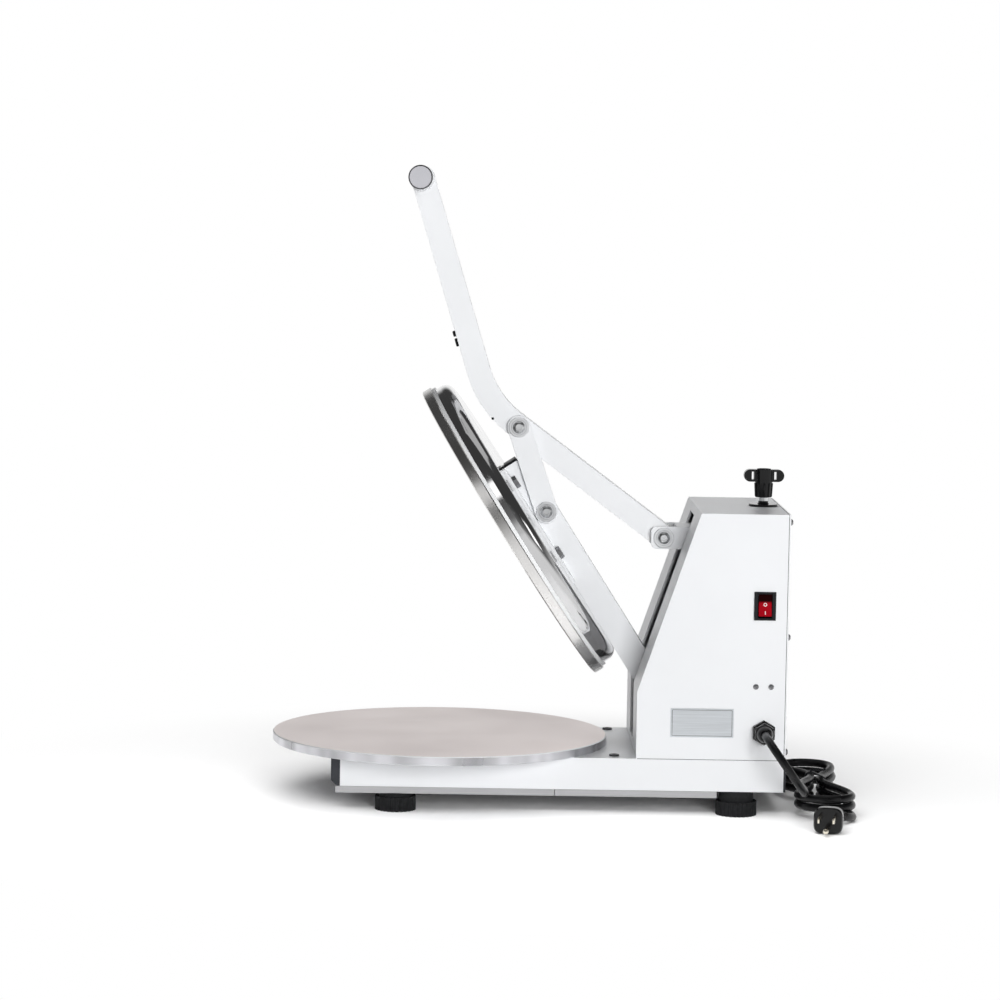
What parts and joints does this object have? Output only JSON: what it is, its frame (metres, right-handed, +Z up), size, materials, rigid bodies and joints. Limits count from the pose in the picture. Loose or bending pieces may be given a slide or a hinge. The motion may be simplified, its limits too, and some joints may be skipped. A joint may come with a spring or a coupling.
{
  "type": "pizza dough press",
  "caption": "Manual pizza dough press: a heated round platen on a hinged arm closes onto a fixed round plate through a bent hand lever and toggle links, with a knob for dough thickness.",
  "frame": {"origin": "middle of the footprint of press and base without the mains cord, at table level", "axes": "+X from the lower plate toward the column, +Y across the press away from the switch side, +Z up"},
  "size_m": [0.5164, 0.3412, 0.5639],
  "materials": {
    "painted_white": "smooth white powder coat",
    "stainless": "satin stainless sheet",
    "polished_cover": "polished stainless pressing",
    "plate_alloy": "turned aluminium",
    "zinc_steel": "bright zinc",
    "black_rubber": "matt",
    "black_plastic": "moulded, lightly textured",
    "black_gloss": "moulded, glossy",
    "cord_vinyl": "smooth vinyl",
    "red_plastic": "glossy",
    "bearing_brass": "machined",
    "pin_brass": "plated",
    "ivory_plastic": "moulded",
    "heater_steel": "dull sheath"
  },
  "bodies": {
    "frame": {"base_shell": "painted_white", "front_end_cap": "black_plastic", "rear_end_cap": "black_plastic", "bottom_tray_front": "stainless", "bottom_tray_rear": "stainless", "feet": "black_rubber", "foot_screws": "zinc_steel", "foot_nuts": "zinc_steel", "lower_plate": "plate_alloy", "lower_plate_screws": "zinc_steel", "stiffener_plate": "zinc_steel", "base_top_screws": "black_plastic", "column_shell": "painted_white", "rear_cover": "painted_white", "rear_cover_screws": "zinc_steel", "pivot_cheeks": "zinc_steel", "cheek_bolts": "zinc_steel", "arm_shaft": "zinc_steel", "arm_spacers": "zinc_steel", "bracket_pin": "zinc_steel", "bracket_spacers": "zinc_steel", "shaft_clips": "zinc_steel", "spring_rod": "zinc_steel", "return_spring": "zinc_steel", "adjuster_bush": "black_plastic", "switch_body": "black_plastic", "terminal_block": "ivory_plastic", "terminal_screws": "zinc_steel", "rating_plate": "stainless", "cable_gland": "black_gloss", "gland_locknut": "black_gloss", "cord_lead": "cord_vinyl", "cord_hank": "cord_vinyl", "cord_tail": "cord_vinyl", "hank_tie": "black_plastic", "plug_body": "black_gloss", "plug_pins": "pin_brass"},
    "arm": {"platen_arm": "painted_white", "arm_pivot_bush": "bearing_brass", "arm_link_bush": "bearing_brass", "platen": "plate_alloy", "platen_cover": "polished_cover", "platen_standoffs": "zinc_steel", "platen_bolts": "zinc_steel", "heating_element": "heater_steel", "thermostat": "heater_steel"},
    "bracket": {"bracket": "painted_white", "adjuster_nut": "zinc_steel", "lever_pin": "zinc_steel"},
    "lever": {"lever": "painted_white", "lever_pivot_bush": "bearing_brass", "lever_knuckle_bush": "bearing_brass", "handle_bar": "stainless", "handle_caps": "plate_alloy"},
    "links": {"link_plates": "painted_white", "knuckle_pins": "zinc_steel", "link_pin": "zinc_steel"},
    "knob": {"adjuster_knob": "black_gloss", "adjuster_screw": "zinc_steel"},
    "rocker": {"rocker": "red_plastic"}
  },
  "joints": [
    {"name": "arm_hinge", "type": "hinge", "parent": "frame", "child": "arm", "pos_m": [0.1151, 0, 0.095], "axis": [0, -1, 0], "range_deg": [0, 57.25], "stiffness_Nm_per_rad": 8, "springref_deg": -85.94, "deforming": ["return_spring"]},
    {"name": "link_hinge", "type": "hinge", "parent": "arm", "child": "links", "pos_m": [0.01406, 0, 0.25948], "axis": [0, -1, 0], "range_deg": [-125.25, 0]},
    {"name": "bracket_tilt", "type": "hinge", "parent": "frame", "child": "bracket", "pos_m": [0.1721, 0, 0.238], "axis": [0, -1, 0], "range_deg": [-2, 2]},
    {"name": "lever_hinge", "type": "hinge", "parent": "bracket", "child": "lever", "pos_m": [0.1189, 0, 0.238], "axis": [0, -1, 0], "range_deg": [0, 68.9]},
    {"name": "knob_turn", "type": "hinge", "parent": "frame", "child": "knob", "pos_m": [0.2088, 0, 0.266], "axis": [0, 0, 1], "range_deg": [-370, 370]},
    {"name": "rocker_tilt", "type": "hinge", "parent": "frame", "child": "rocker", "pos_m": [0.2045, -0.0905, 0.186], "axis": [1, 0, 0], "range_deg": [0, 20]}
  ],
  "couplings": [
    {"joint": "lever_hinge", "follows": "arm_hinge", "ratio": 1.2023},
    {"joint": "link_hinge", "follows": "arm_hinge", "ratio": -2.1865},
    {"joint": "knob_turn", "follows": "bracket_tilt", "ratio": -184.47}
  ]
}
